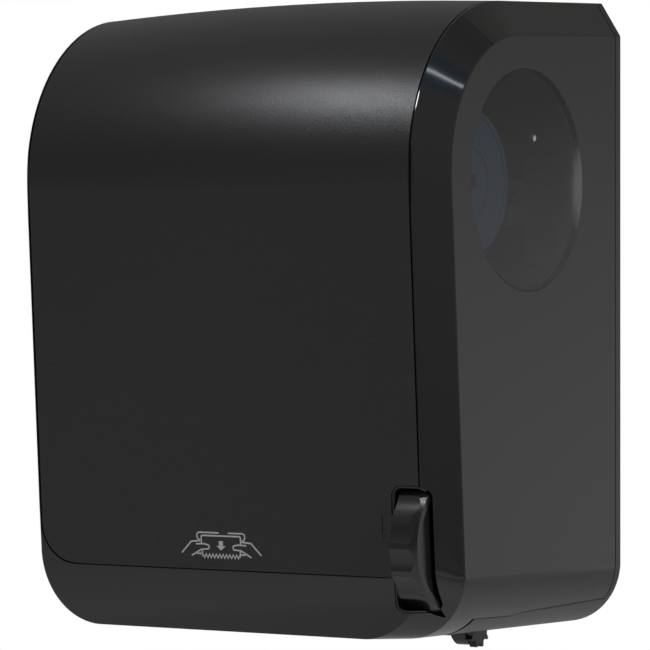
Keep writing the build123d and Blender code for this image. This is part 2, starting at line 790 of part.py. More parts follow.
pawl_pin_radius = 2.0
pawl_tip_radius = 1.2
pawl_root_radius = 4.0
pawl_pivot = on_circle(drum_axis, 34.0, 40.0)
pawl_tip = on_circle(drum_axis, ratchet_tip + pawl_tip_radius + touch_gap, 79.0)


def build_pawl():
    """Lever shown lifted, its tip just clear of the ratchet's teeth."""
    shape = hull((*pawl_pivot, pawl_root_radius), (*pawl_tip, pawl_tip_radius))
    lever = slab(shape, -gear_x - 4.5, -gear_x - 0.5)
    return lever - rod(pawl_pivot, pawl_pin_radius + running_gap, -gear_x - 6, -gear_x)


def build_pawl_pin():
    return rod(pawl_pivot, pawl_pin_radius, -gear_x - 6, -frame_outer)


def build_pawl_spring():
    """Leaf that leans on the pawl, held by a post on the frame."""
    post = (pawl_pivot[0] + 17, pawl_pivot[1] + 5)
    top = pawl_pivot[1] + pawl_root_radius + touch_gap
    leaf = block(-gear_x - 3.5, -gear_x - 1.5, pawl_pivot[0] - 8, post[0], top, top + 0.7)
    return rod(post, 2.2, -gear_x - 4, -frame_outer) + leaf


def build_knife_carrier():
    """Bar along the drum that swings on two pins and carries the blade."""
    reach = drum_length / 2 - drum_wall - 1
    pivot = Pos(knife_pivot_radial, knife_pivot_across)
    top = knife_base_radial
    bar = make_face(
        Polyline((31.2, -21), (33.2, -17.6), (top, -3), (top, 3), (27.5, 7.5), (22.5, 7.5),
                 (25.5, -1), (29.6, -19), close=True)
    )
    bar += pivot * Circle(knife_pin_radius + 0.8)
    carrier = slab(drum_place * bar, -reach, reach)
    carrier += slab(drum_place * pivot * Circle(knife_pin_radius), -reach - 3, reach + 3)
    follower = drum_place * Pos(24, 5) * Circle(knife_pin_radius)
    return carrier + slab(follower, -frame_x + 0.6, -reach)


def build_knife_blade():
    """Thin blade standing on the carrier, its edge cut into teeth along the drum."""
    reach = drum_length / 2 - drum_wall - 4
    count = int(2 * reach / knife_tooth_pitch)
    height = knife_tip_radial - knife_base_radial
    start = -count * knife_tooth_pitch / 2
    points = [(start, 0), (start, height - 2.5)]
    for tooth in range(count):
        points.append((start + (tooth + 0.5) * knife_tooth_pitch, height))
        points.append((start + (tooth + 1) * knife_tooth_pitch, height - 2.5))
    points.append((-start, 0))
    base = on_circle(drum_axis, knife_base_radial, knife_slot_angle)
    angle = radians(knife_slot_angle)
    plane = Plane(origin=(0, *base), x_dir=(1, 0, 0), z_dir=(0, -sin(angle), cos(angle)))
    return extrude(plane * make_face(Polyline(*points, close=True)), 1.0)


def build_knife_cam():
    """Lobed disc fixed round the left bush, which lifts the knife as the drum turns."""
    lobe = on_circle(drum_axis, 12.0, 200.0)
    disc = slab(hull((*drum_axis, 13.0), (*lobe, 9.5)), -frame_x, -frame_x + 1.8)
    return disc - rod(drum_axis, drum_bush_radius + press_gap, -frame_x - 1, -frame_x + 3)


# --- pinch roller ---
def build_pinch_shaft():
    reach = frame_outer + 5
    return rod(pinch_axis, pinch_shaft_radius, -reach, reach)


def build_pinch_tyres():
    tyres = []
    for middle in band_places:
        low, high = middle - grip_band_width / 2 - 1, middle + grip_band_width / 2 + 1
        tyres.append(tube(pinch_axis, pinch_radius, pinch_shaft_radius + press_gap, low, high))
    return tyres


def build_pinch_springs():
    """Leaf springs that push the pinch shaft towards the drum."""
    front = pinch_axis[0] - pinch_shaft_radius - touch_gap
    x_low, x_high = frame_outer + 0.5, frame_outer + 4.5
    leaf = block(x_low, x_high, front - 0.8, front, pinch_axis[1] - 4, pinch_axis[1] + 15)
    leaf += block(frame_outer, x_high, front - 3, front + 2, pinch_axis[1] + 10, pinch_axis[1] + 15)
    return [leaf, mirrored(leaf)]


# --- thumb wheel ---
def build_thumb_wheel():
    start, end = wheel_inner_x, wheel_outer_x
    blank = rod(wheel_axis, wheel_radius, start, end)
    far_rim = blank.edges().filter_by(GeomType.CIRCLE).sort_by(Axis.X)[-1]
    end_face = blank.faces().sort_by(Axis.X)[-1]
    blank = chamfer(far_rim, wheel_bevel_r, wheel_bevel_x, reference=end_face)
    step = 360.0 / wheel_flutes
    for number in range(wheel_flutes):
        angle = 180.0 - wheel_first_ridge - step * (number + 0.5)
        distance = wheel_radius - wheel_flute_depth + wheel_flute_radius
        blank -= rod(on_circle(wheel_axis, distance, angle), wheel_flute_radius, start - 1, end + 1)
    blank -= rod(wheel_axis, wheel_radius - 5, start - 1, start + 11)
    dish_radius = wheel_radius - wheel_bevel_r - 4
    blank -= rod(wheel_axis, dish_radius, end - 1.5, end + 1)
    blank += rod(wheel_axis, wheel_axle_radius + 4, start, end - 0.5)
    return blank - rod(wheel_axis, wheel_axle_radius + press_gap, start - 1, end - 3)


def build_wheel_axle():
    return rod(wheel_axis, wheel_axle_radius, frame_x - 12, wheel_outer_x - 3.2)


# --- paper path ---
def knife_reach():
    """How far from the drum's axis the knife's edge comes when it is fully out."""
    along = knife_tip_radial - knife_pivot_radial
    across = -knife_pivot_across
    turn = radians(knife_swing)
    out = knife_pivot_radial + along * cos(turn) + across * sin(turn)
    return hypot(out, knife_pivot_across + across * cos(turn) - along * sin(turn))


def thin_plate(points, thickness, reach):
    line = Polyline(*points)
    return slab(trace(line, thickness), -reach, reach)


def build_front_guide():
    foot = -exit_front_depth - collar_wall / 2
    clear = knife_reach() + guide_clearance + guide_thickness / 2
    top = (drum_axis[0] - clear, drum_axis[1] - 12)
    return thin_plate([top, (top[0], top[1] - 45), (foot, collar_height + 1.2)], guide_thickness, frame_x)


def build_rear_guide():
    foot = -exit_rear_depth + collar_wall / 2
    drum_low = drum_axis[1] - band_radius
    return thin_plate([(foot, drum_low - 10), (foot, collar_height + 1.2)], guide_thickness, frame_x)


def build_stripper_comb():
    """Comb on the rear guide whose fingers lift the towel off between the grip bands."""
    guide = -exit_rear_depth + collar_wall / 2 + guide_thickness / 2
    drum_low = drum_axis[1] - band_radius
    comb = block(-frame_x, frame_x, guide, guide + 7, drum_low - 14, drum_low - 8)
    tip = on_circle(drum_axis, drum_radius + 1.2, 240.0)
    outline = make_face(
        Polyline(
            (guide, drum_low - 14), (guide + 7, drum_low - 14), (guide + 7, drum_low + 3), tip,
            (tip[0] + 2, tip[1] - 4), (guide, drum_low - 9), close=True,
        )
    )
    outline -= Pos(*drum_axis) * Circle(drum_radius + 0.6)
    for band in band_places[:-1]:
        middle = band + grip_band_pitch / 2
        comb += slab(outline, middle - 1.5, middle + 1.5)
    guide_slot = guide_thickness + 1
    return comb - block(-frame_x, frame_x, guide - guide_slot, guide, 0, drum_low - 9.9)


# --- exit roller ---
exit_axis = (-exit_roller_depth, exit_roller_height)
exit_shaft_radius = 3.0


def build_exit_roller():
    end = exit_roller_x + exit_roller_length
    roller = rod(exit_axis, exit_roller_radius, exit_roller_x, end)
    roller = chamfer(roller.edges().filter_by(GeomType.CIRCLE).sort_by(Axis.X)[0], 1.5)
    shaft_start = exit_roller_x - 9.5
    return roller + rod(exit_axis, exit_shaft_radius, shaft_start, end + toothed_wheel_width)


def build_toothed_wheel():
    start = exit_roller_x + exit_roller_length
    points = []
    step = 360.0 / toothed_wheel_teeth
    for tooth in range(toothed_wheel_teeth):
        middle = tooth * step
        points.append(on_circle(exit_axis, toothed_wheel_radius - 3, middle - 0.3 * step))
        points.append(on_circle(exit_axis, toothed_wheel_radius, middle - 0.1 * step))
        points.append(on_circle(exit_axis, toothed_wheel_radius, middle + 0.1 * step))
        points.append(on_circle(exit_axis, toothed_wheel_radius - 3, middle + 0.3 * step))
    wheel = slab(make_face(Polyline(*points, close=True)), start, start + toothed_wheel_width)
    return wheel - rod(exit_axis, exit_shaft_radius + press_gap, start - 1, start + 20)


def build_exit_bracket():
    """Hanger under the floor's edge that carries the roller's shaft."""
    floor_top = shell_wall + floor_slope * (exit_roller_depth + 10)
    outline = hull((*exit_axis, 6.0), (exit_axis[0], floor_top + 5, 7.0))
    end = exit_roller_x - 4
    plate = slab(outline, exit_roller_x - 9, end)
    foot = block(exit_roller_x - 26, end, exit_axis[0] - 9, exit_axis[0] + 9, 0, floor_top + 2.5)
    foot = foot & thin_cavity
    bore = exit_shaft_radius + running_gap
    return plate + foot - rod(exit_axis, bore, exit_roller_x - 10, exit_roller_x)


# --- cover lock ---
lock_top = top_height(lock_depth)


def build_lock_body():
    body_length = lock_length - cam_thickness
    body = Pos(0, -lock_depth, lock_top - lock_length / 2) * Cylinder(lock_body_radius, body_length)
    collar = Pos(0, -lock_depth, lock_top + 1.5) * Cylinder(lock_body_radius + 2, 1.6)
    shape = body + collar
    shape += Pos(0, -lock_depth, lock_top - 0.5) * Cylinder(lock_body_radius, 4)
    return shape - Pos(0, -lock_depth, lock_top) * Cylinder(lock_core_radius + running_gap, 60)


cam_top = lock_top - lock_length + cam_thickness / 2 - 0.3


def build_lock_core():
    top = lock_top + 1.5
    bottom = cam_top - cam_thickness
    core = Pos(0, -lock_depth, (top + bottom) / 2) * Cylinder(lock_core_radius, top - bottom)
    slot = Pos(0, -lock_depth, top) * (Box(1.4, 6, 6) + Box(3.0, 3.0, 6))
    return core - slot


def build_lock_cam():
    """Bar on the core's lower end with a raised tip that hooks behind the back plate's lip."""
    middle = cam_top - cam_thickness / 2
    bar = block(-5, cam_length + 2, -lock_depth - 4, -lock_depth + 4, cam_top - cam_thickness, cam_top)
    bar += block(cam_length - 2, cam_length + 2, -lock_depth - 3, -lock_depth + 3, cam_top, cam_top + 2.0)
    bar += Pos(0, -lock_depth, middle) * Cylinder(lock_core_radius + 3, cam_thickness)
    return bar - Pos(0, -lock_depth, middle) * Cylinder(lock_core_radius + press_gap, 30)


# --- fasteners and pins ---
def build_hinge_pins():
    reach = hinge_lug_width / 2 + touch_gap + hinge_ear_width + 0.5
    pin = rod(hinge_axis, hinge_pin_radius, hinge_lug_x - reach, hinge_lug_x + reach)
    return [pin, mirrored(pin)]


def pan_screw(x, z, seat_depth):
    """Pan-head screw going straight back from its seat."""
    head = front_prism(Pos(x, z) * Circle(3.6), seat_depth, seat_depth + 2.2)
    slot = front_prism(Pos(x, z) * Rectangle(1.0, 5.0), seat_depth + 1.2, seat_depth + 3)
    return head - slot


def build_frame_screws():
    screws = []
    for z in (frame_back_low + 8, frame_back_high - 8):
        for side in (-1, 1):
            screws.append(pan_screw(side * (frame_x + 9), z, plate_thickness + 3))
    return screws


def build_arm_screws():
    screws = []
    for z in (roll_height - 44, roll_height + 13):
        for side in (-1, 1):
            screws.append(pan_screw(side * (arm_x - 9), z, plate_thickness + 3))
    return screws


save("back_plate", build_back_plate())
save("lower_housing", build_lower_housing())
cover_shell, cover_frame = build_cover()
save("cover_shell", cover_shell)
save("cover_frame", cover_frame)
save("front_panel", build_front_panel())
save("window_right", build_window(1))
save("window_left", build_window(-1))
save("pocket_liner", build_pocket_liner())
save("side_frame_right", build_side_frame(1))
save("side_frame_left", build_side_frame(-1))
save("tie_rods", *build_tie_rods())
save("drum_bushes", *build_drum_bushes())
save("wheel_bush", build_wheel_bush())
save("idler_stud", build_idler_stud())
save("roll_arm_right", build_roll_arm(1))
save("roll_arm_left", build_roll_arm(-1))
save("brake_pads", *build_brake_pads())
save("roll_hub_right", build_roll_hub(1))
save("roll_hub_left", build_roll_hub(-1))
save("hub_disc_right", build_hub_disc(1))
save("hub_disc_left", build_hub_disc(-1))
drum_front, drum_rear = build_drum_shells()
save("drum_shell_slotted", drum_front)
save("drum_shell_plain", drum_rear)
save("grip_bands", *build_grip_bands())
save("drum_shaft", build_drum_shaft())
save("drum_gear", gear(drum_axis, drum_gear_teeth, drum_phase, drum_shaft_radius + press_gap, 14.0))
save("ratchet_wheel", build_ratchet_wheel())
save("pawl", build_pawl())
save("pawl_pin", build_pawl_pin())
save("pawl_spring", build_pawl_spring())
save("knife_carrier", build_knife_carrier())
save("knife_blade", build_knife_blade())
save("knife_cam", build_knife_cam())
save("pinch_shaft", build_pinch_shaft())
save("pinch_tyres", *build_pinch_tyres())
save("pinch_springs", *build_pinch_springs())
save("idler_gear", gear(idler_axis, idler_teeth, idler_phase, 4.0 + running_gap, 9.0))
save("thumb_wheel", build_thumb_wheel())
save("wheel_axle", build_wheel_axle())
save("wheel_pinion", gear(wheel_axis, pinion_teeth, pinion_phase, wheel_axle_radius + press_gap, 9.0))
save("front_guide", build_front_guide())
save("rear_guide", build_rear_guide())
save("stripper_comb", build_stripper_comb())
save("exit_roller", build_exit_roller())
save("toothed_wheel", build_toothed_wheel())
save("exit_bracket", build_exit_bracket())
save("lock_body", build_lock_body())
save("lock_core", build_lock_core())
save("lock_cam", build_lock_cam())
save("hinge_pins", *build_hinge_pins())
save("frame_screws", *build_frame_screws())
save("arm_screws", *build_arm_screws())
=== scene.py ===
# %% [markdown]
# # A wall-mounted roll towel dispenser
#
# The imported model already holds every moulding, gear and shaft at its real size. This lesson gives
# those pieces their finishes, adds the printed and raised marks and the fine treads that are too
# small for the model, and lights the whole like a catalogue picture. Everything is in metres, with
# the wall at Y = 0, the front towards -Y and the thumb wheel at the +X side.

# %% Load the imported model
import json
from math import cos, pi, radians, sin

import bmesh
import bpy
from mathutils import Matrix, Vector
from mathutils.bvhtree import BVHTree


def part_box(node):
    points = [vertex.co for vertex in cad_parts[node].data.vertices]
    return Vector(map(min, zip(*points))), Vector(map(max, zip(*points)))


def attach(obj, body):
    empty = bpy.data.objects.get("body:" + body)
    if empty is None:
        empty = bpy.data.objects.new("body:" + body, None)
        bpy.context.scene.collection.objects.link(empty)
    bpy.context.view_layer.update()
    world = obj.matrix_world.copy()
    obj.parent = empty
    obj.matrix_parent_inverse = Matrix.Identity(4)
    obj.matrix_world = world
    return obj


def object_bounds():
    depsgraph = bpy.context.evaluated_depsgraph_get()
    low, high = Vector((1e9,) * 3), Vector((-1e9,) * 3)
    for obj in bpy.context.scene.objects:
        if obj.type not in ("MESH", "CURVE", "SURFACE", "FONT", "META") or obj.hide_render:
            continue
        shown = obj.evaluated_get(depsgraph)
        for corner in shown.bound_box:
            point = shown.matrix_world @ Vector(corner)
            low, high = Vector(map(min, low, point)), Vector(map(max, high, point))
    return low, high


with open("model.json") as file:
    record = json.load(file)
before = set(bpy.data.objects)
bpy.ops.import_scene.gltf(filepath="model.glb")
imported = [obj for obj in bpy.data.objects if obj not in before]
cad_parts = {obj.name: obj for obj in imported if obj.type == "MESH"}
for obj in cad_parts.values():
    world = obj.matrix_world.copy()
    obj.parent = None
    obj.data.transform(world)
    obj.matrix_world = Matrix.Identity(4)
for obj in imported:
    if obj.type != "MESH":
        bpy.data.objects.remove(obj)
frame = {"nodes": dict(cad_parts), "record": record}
cad_low, cad_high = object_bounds()
nodes = frame["nodes"]
MM = 0.001
print("pieces in the packed model:", len(nodes))

# %% [markdown]
# ## How finishes are built
#
# A material here is one Principled shader with its constant values set straight on its sockets, and
# small node trees that vary colour, roughness and surface height. Two effects are shared by many
# plastics, so each is a node group made once: a moulded grain that lifts the surface in tiny bumps,
# and a handling film that makes gloss a little uneven, as wiped plastic is.

# %% Helpers for node trees
def link(tree, source, target):
    tree.links.new(source, target)


def feed(tree, slot, value):
    """Give an input socket a plain number, or link another socket to it."""
    if isinstance(value, (int, float)):
        slot.default_value = value
    else:
        link(tree, value, slot)


def shader_group(name, inputs, outputs):
    """Empty shader group with float or vector sockets, and its in and out nodes."""
    group = bpy.data.node_groups.new(name, "ShaderNodeTree")
    for label, kind, value in inputs:
        socket = group.interface.new_socket(label, in_out="INPUT", socket_type=kind)
        if kind == "NodeSocketFloat":
            socket.default_value = value
    for label in outputs:
        group.interface.new_socket(label, in_out="OUTPUT", socket_type="NodeSocketFloat")
    return group, group.nodes.new("NodeGroupInput"), group.nodes.new("NodeGroupOutput")


def maths(tree, operation, first, second):
    """Math node fed by sockets or plain numbers."""
    node = tree.nodes.new("ShaderNodeMath")
    node.operation = operation
    for slot, value in zip(node.inputs, (first, second)):
        feed(tree, slot, value)
    return node.outputs[0]


def noise(tree, vector, scale, detail):
    """Noise texture on object coordinates; scale is a number or a socket."""
    node = tree.nodes.new("ShaderNodeTexNoise")
    node.inputs["Detail"].default_value = detail
    link(tree, vector, node.inputs["Vector"])
    feed(tree, node.inputs["Scale"], scale)
    return node.outputs["Fac"]


# %% Moulded grain: fine bumps left by an etched mould
USUAL_GRAINS = 900.0
PEBBLE_SHARE = 0.5


def make_grain_group():
    group, source, result = shader_group(
        "moulded_grain",
        [("Vector", "NodeSocketVector", None), ("Grains per metre", "NodeSocketFloat", USUAL_GRAINS)],
        ["Height"],
    )
    grains = source.outputs["Grains per metre"]
    fine = noise(group, source.outputs["Vector"], grains, 3.0)
    cells = group.nodes.new("ShaderNodeTexVoronoi")
    link(group, source.outputs["Vector"], cells.inputs["Vector"])
    link(group, grains, cells.inputs["Scale"])
    pebbles = maths(group, "SUBTRACT", 1.0, cells.outputs["Distance"])
    height = maths(group, "ADD", fine, maths(group, "MULTIPLY", pebbles, PEBBLE_SHARE))
    link(group, height, result.inputs["Height"])
    return group


# %% Handling film: roughness that drifts over the surface
BROAD_SCALE, BROAD_SHARE = 9.0, 0.6
SMEAR_SCALE, SMEAR_SHARE = 70.0, 0.4


def make_film_group():
    group, source, result = shader_group(
        "handling_film",
        [
            ("Vector", "NodeSocketVector", None),
            ("Roughness", "NodeSocketFloat", 0.3),
            ("Unevenness", "NodeSocketFloat", 0.05),
        ],
        ["Roughness"],
    )
    broad = noise(group, source.outputs["Vector"], BROAD_SCALE, 2.0)
    smears = noise(group, source.outputs["Vector"], SMEAR_SCALE, 4.0)
    broad_part = maths(group, "MULTIPLY", broad, BROAD_SHARE)
    both = maths(group, "ADD", broad_part, maths(group, "MULTIPLY", smears, SMEAR_SHARE))
    centred = maths(group, "SUBTRACT", both, 0.5)
    drift = maths(group, "MULTIPLY", centred, source.outputs["Unevenness"])
    link(group, maths(group, "ADD", source.outputs["Roughness"], drift), result.inputs["Roughness"])
    return group


GRAIN = make_grain_group()
FILM = make_film_group()
print("shared effects:", GRAIN.name, FILM.name)


# %% One function for every moulded, rubber or metal finish
TINT_SPREAD = 0.06
TINT_SCALE = 14.0
GRAIN_DEPTH = 0.1 * MM


def new_material(name):
    """Material with its tree, its Principled shader and its object coordinates."""
    material = bpy.data.materials.new(name)
    material.use_nodes = True
    tree = material.node_tree
    shader = tree.nodes["Principled BSDF"]
    place = tree.nodes.new("ShaderNodeTexCoord").outputs["Object"]
    return material, tree, shader, place


def use_group(tree, group, **values):
    node = tree.nodes.new("ShaderNodeGroup")
    node.node_tree = group
    for label, value in values.items():
        feed(tree, node.inputs[label.replace("_", " ")], value)
    return node


def tint(tree, place, colour):
    """Colour that drifts a little lighter and darker over the piece."""
    ramp = tree.nodes.new("ShaderNodeMix")
    ramp.data_type = "RGBA"
    ramp.inputs["A"].default_value = (*[c * (1 - TINT_SPREAD) for c in colour], 1)
    ramp.inputs["B"].default_value = (*[c * (1 + TINT_SPREAD) for c in colour], 1)
    link(tree, noise(tree, place, TINT_SCALE, 3.0), ramp.inputs["Factor"])
    return ramp.outputs["Result"]


def bump(tree, height, strength, distance):
    node = tree.nodes.new("ShaderNodeBump")
    node.inputs["Strength"].default_value = strength
    node.inputs["Distance"].default_value = distance
    link(tree, height, node.inputs["Height"])
    return node.outputs["Normal"]


def finish_material(name, colour, roughness, unevenness, grains, grain_lift, metallic=0.0):
    """Procedural finish: drifting tint, uneven gloss and a fine moulded grain."""
    material, tree, shader, place = new_material(name)
    link(tree, tint(tree, place, colour), shader.inputs["Base Color"])
    film = use_group(tree, FILM, Vector=place, Roughness=roughness, Unevenness=unevenness)
    link(tree, film.outputs["Roughness"], shader.inputs["Roughness"])
    grain = use_group(tree, GRAIN, Vector=place, Grains_per_metre=grains)
    normal = bump(tree, grain.outputs["Height"], grain_lift, GRAIN_DEPTH)
    link(tree, normal, shader.inputs["Normal"])
    shader.inputs["Metallic"].default_value = metallic
    return material


# %% [markdown]
# ## The black mouldings
#
# All the outer mouldings are nearly the same black, so the difference is in roughness and grain.
# The frame round the front is piano black and mirrors the room. The shell behind it has a softer
# gloss, and the panel let into the front has an etched face that spreads light into a soft glow.

# %% Cover, panel and wheel finishes
# The four numbers after a colour: roughness, its unevenness, grains per metre, lift of the grain.
BLACK = (0.0075, 0.0075, 0.008)
cover_gloss = finish_material("cover_gloss", BLACK, 0.07, 0.03, 400.0, 0.01)
cover_satin = finish_material("cover_satin", (0.0105, 0.0102, 0.0096), 0.2, 0.05, 1200.0, 0.06)
panel_satin = finish_material("panel_satin", (0.0068, 0.0068, 0.0072), 0.36, 0.05, 1100.0, 1.0)
plate_black = finish_material("plate_black", (0.012, 0.012, 0.013), 0.36, 0.08, 1100.0, 0.3)
wheel_black = finish_material("wheel_black", (0.0085, 0.0085, 0.009), 0.26, 0.06, 1200.0, 0.12)
print("black finishes made")

# %% [markdown]
# ## See-through pieces
#
# The side windows are smoke-tinted, and the roll holder's discs are a tinted clear moulding. Plain
# transparency through Alpha lets lamp light reach what lies behind, which real refraction would
# leave in the dark.

# %% Smoke window and tinted disc
CLEAR_UNEVENNESS = 0.03
CLEAR_IOR = 1.49
RIM_BLEND = 0.2
RIM_SHARE = 0.3


def clear_material(name, colour, roughness, alpha):
    material, tree, shader, place = new_material(name)
    shader.inputs["Base Color"].default_value = (*colour, 1)
    film = use_group(tree, FILM, Vector=place, Roughness=roughness, Unevenness=CLEAR_UNEVENNESS)
    link(tree, film.outputs["Roughness"], shader.inputs["Roughness"])
    rim = tree.nodes.new("ShaderNodeLayerWeight")
    rim.inputs["Blend"].default_value = RIM_BLEND
    edge = maths(tree, "MULTIPLY", rim.outputs["Facing"], (1.0 - alpha) * RIM_SHARE)
    link(tree, maths(tree, "ADD", alpha, edge), shader.inputs["Alpha"])
    shader.inputs["IOR"].default_value = CLEAR_IOR
    return material


window_smoke = clear_material("window_smoke", (0.024, 0.024, 0.0245), 0.05, 0.47)
disc_blue = clear_material("disc_blue", (0.2, 0.29, 0.44), 0.15, 0.8)

# %% [markdown]
# ## The works inside
#
# Gears, bushes and pawl are white acetal, the drum and the frames are grey mouldings, shafts and
# screws are steel, and the grip bands and tyres are rubber. The screws of the roll arms are
# blackened.

# %% Inner finishes
frame_grey = finish_material("frame_grey", (0.07, 0.075, 0.08), 0.42, 0.06, 1000.0, 0.25)
drum_grey = finish_material("drum_grey", (0.3, 0.31, 0.32), 0.4, 0.06, 1000.0, 0.2)
acetal_white = finish_material("acetal_white", (0.68, 0.68, 0.65), 0.35, 0.06, 800.0, 0.1)
guide_plastic = finish_material("guide_plastic", (0.2, 0.21, 0.22), 0.36, 0.06, 1000.0, 0.1)
rubber_black = finish_material("rubber_black", (0.02, 0.02, 0.02), 0.75, 0.08, 1800.0, 0.5)
steel = finish_material("steel", (0.55, 0.55, 0.57), 0.28, 0.08, 2500.0, 0.1, metallic=1.0)
screw_black = finish_material("screw_black", (0.05, 0.05, 0.052), 0.45, 0.08, 2500.0, 0.1,
                              metallic=1.0)
MATERIAL_OF = {
    "cover_gloss": cover_gloss, "cover_satin": cover_satin, "panel_satin": panel_satin,
    "plate_black": plate_black, "wheel_black": wheel_black,
    "window_smoke": window_smoke, "disc_blue": disc_blue,
    "frame_grey": frame_grey, "drum_grey": drum_grey, "bush_white": acetal_white,
    "guide_clear": guide_plastic, "rubber_black": rubber_black, "steel": steel,
}


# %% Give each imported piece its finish
for part in frame["record"]["subparts"]:
    piece = nodes[part["node"]]
    piece.data.materials.clear()
    piece.data.materials.append(MATERIAL_OF[part["material_slot"]])
nodes["arm_screws"].data.materials[0] = screw_black


# %% [markdown]
# ## Marks on the front
#
# A printed sign low on the panel shows two hands pulling a towel down, and a small raised arrow by
# the thumb wheel shows which way to turn it. Both are flat outlines drawn in X and Z, then laid on
# the crowned panel by casting each point onto it.

# %% Lay flat outlines on a curved face
panel_tree = BVHTree.FromObject(nodes["front_panel"], bpy.context.evaluated_depsgraph_get())
RAY_START = -0.5
MARK_SINK = 0.02 * MM
MITRE_LIMIT = 0.5


def on_panel(x, z, lift):
    """Point on the panel's face at X and Z, raised by the lift."""
    hit = panel_tree.ray_cast(Vector((x, RAY_START, z)), Vector((0, 1, 0)))[0]
    return Vector((x, hit.y - lift, z))


def ribbon(points, width):
    """Quads of a stroke with mitred corners along points in X and Z."""
    sides = []
    for index, point in enumerate(points):
        before = points[max(index - 1, 0)]
        after = points[min(index + 1, len(points) - 1)]
        way_in = (Vector(point) - Vector(before)).normalized()
        way_out = (Vector(after) - Vector(point)).normalized()
        way = (way_in + way_out).normalized()
        across = Vector((-way.y, way.x))
        along = way_in if way_in.length else way_out
        stretch = 1 / max(MITRE_LIMIT, abs(across.dot(Vector((-along.y, along.x)))))
        offset = across * width / 2 * stretch
        sides.append((Vector(point) + offset, Vector(point) - offset))
    return [(a[0], b[0], b[1], a[1]) for a, b in zip(sides, sides[1:])]


def add_object(name, data):
    """Object for a mesh, lamp or camera, linked to the scene."""
    thing = bpy.data.objects.new(name, data)
    bpy.context.scene.collection.objects.link(thing)
    return thing


def recalculate(mesh):
    """Turn all faces of a closed mesh outwards."""
    work = bmesh.new()
    work.from_mesh(mesh)
    bmesh.ops.recalc_face_normals(work, faces=work.faces)
    work.to_mesh(mesh)
    work.free()


def mark_mesh(name, quads, lift, material):
    """Closed thin solids standing on the panel, one for each flat polygon."""
    verts, faces = [], []
    for quad in quads:
        start = len(verts)
        count = len(quad)
        verts += [on_panel(p[0], p[1], lift) for p in quad]
        verts += [on_panel(p[0], p[1], -MARK_SINK) for p in quad]
        faces.append([start + i for i in range(count)])
        faces.append([start + count + i for i in reversed(range(count))])
        for i in range(count):
            j = (i + 1) % count
            faces.append([start + i, start + count + i, start + count + j, start + j])
    mesh = bpy.data.meshes.new(name)
    mesh.from_pydata(verts, [], faces)
    mesh.materials.append(material)
    recalculate(mesh)
    return add_object(name, mesh)


def arc_points(centre, radius, start, end, steps):
    turns = [radians(start + (end - start) * i / steps) for i in range(steps + 1)]
    return [(centre[0] + radius * cos(t), centre[1] + radius * sin(t)) for t in turns]


# %% The sign: a towel coming down between two hands
ink_grey = finish_material("ink_grey", (0.31, 0.31, 0.32), 0.5, 0.05, 1500.0, 0.2)
SIGN_X = -2.5 * MM
SIGN_TOP = -133.5 * MM
STROKE = 1.0 * MM
TEETH_STROKE = 0.75 * MM
SIGN_LIFT = 0.06 * MM
# The torn edge, in millimetres of the sign
TEETH_WIDTH = 28.8
TEETH_TOP = -13.7
TOOTH_DEPTH = 2.4
TOOTH_STEPS = 22


def sign_points(points):
    return [(SIGN_X + x * MM, SIGN_TOP + z * MM) for x, z in points]


def both_sides(points):
    """A stroke on the left half of the sign and its mirror image."""
    return [points, [(-x, z) for x, z in points]]


def sign_strokes():
    bar_top = [(-16.9, 0.0), (16.9, 0.0)]
    bar_low = [(-14.6, -1.95), (14.6, -1.95)]
    curl = [(-16.9, 0.0), (-18.2, -0.8), (-18.6, -2.4), (-17.9, -4.1), (-16.1, -5.0)]
    side = [(-14.6, -1.95), (-15.2, -2.6), (-15.2, -7.0)]
    back_of_hand = [(-30.7, -13.5), (-23.1, -6.0), (-16.0, -5.4)]
    finger = [(-19.5, -7.5), (-13.6, -7.3), (-10.6, -7.8)]
    finger += arc_points((-10.6, -9.2), 1.4, 90, -90, 8)
    finger += [(-15.2, -10.9), (-17.9, -12.3), (-23.1, -15.1)]
    hem = [(-14.9, -11.0), (-14.4, -15.4)]
    web = [(-18.8, -13.6), (-14.6, -13.6)]
    strokes = [bar_top, bar_low]
    for half in (curl, side, back_of_hand, finger, hem, web):
        strokes += both_sides(half)
    return strokes


def arrow_polygons(x, top, shaft, length, head, head_length):
    low = top - length
    body = [(x - shaft, top), (x + shaft, top), (x + shaft, low), (x - shaft, low)]
    tip = [(x - head, low), (x + head, low), (x, low - head_length)]
    return [body, tip]


sign_quads = []
for points in sign_strokes():
    sign_quads += ribbon(sign_points(points), STROKE)
teeth = [
    (-TEETH_WIDTH / 2 + TEETH_WIDTH * i / TOOTH_STEPS, TEETH_TOP - TOOTH_DEPTH * (i % 2))
    for i in range(TOOTH_STEPS + 1)
]
sign_quads += ribbon(sign_points(teeth), TEETH_STROKE)
sign_arrow = arrow_polygons(0, -5.2, shaft=1.6, length=3.2, head=3.5, head_length=2.9)
sign_quads += [sign_points(p) for p in sign_arrow]
sign = mark_mesh("pull_sign", sign_quads, SIGN_LIFT, ink_grey)
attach(sign, "cover")
print("sign strokes:", len(sign_quads))

# %% The raised arrow beside the wheel
ARROW_X = 118.5 * MM
ARROW_TOP = -118.4 * MM
ARROW_LIFT = 0.35 * MM
arrow_quads = arrow_polygons(ARROW_X, ARROW_TOP, shaft=0.45 * MM, length=12.0 * MM,
                             head=2.6 * MM, head_length=3.6 * MM)
turn_arrow = mark_mesh("turn_arrow", arrow_quads, ARROW_LIFT, panel_satin)
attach(turn_arrow, "cover")

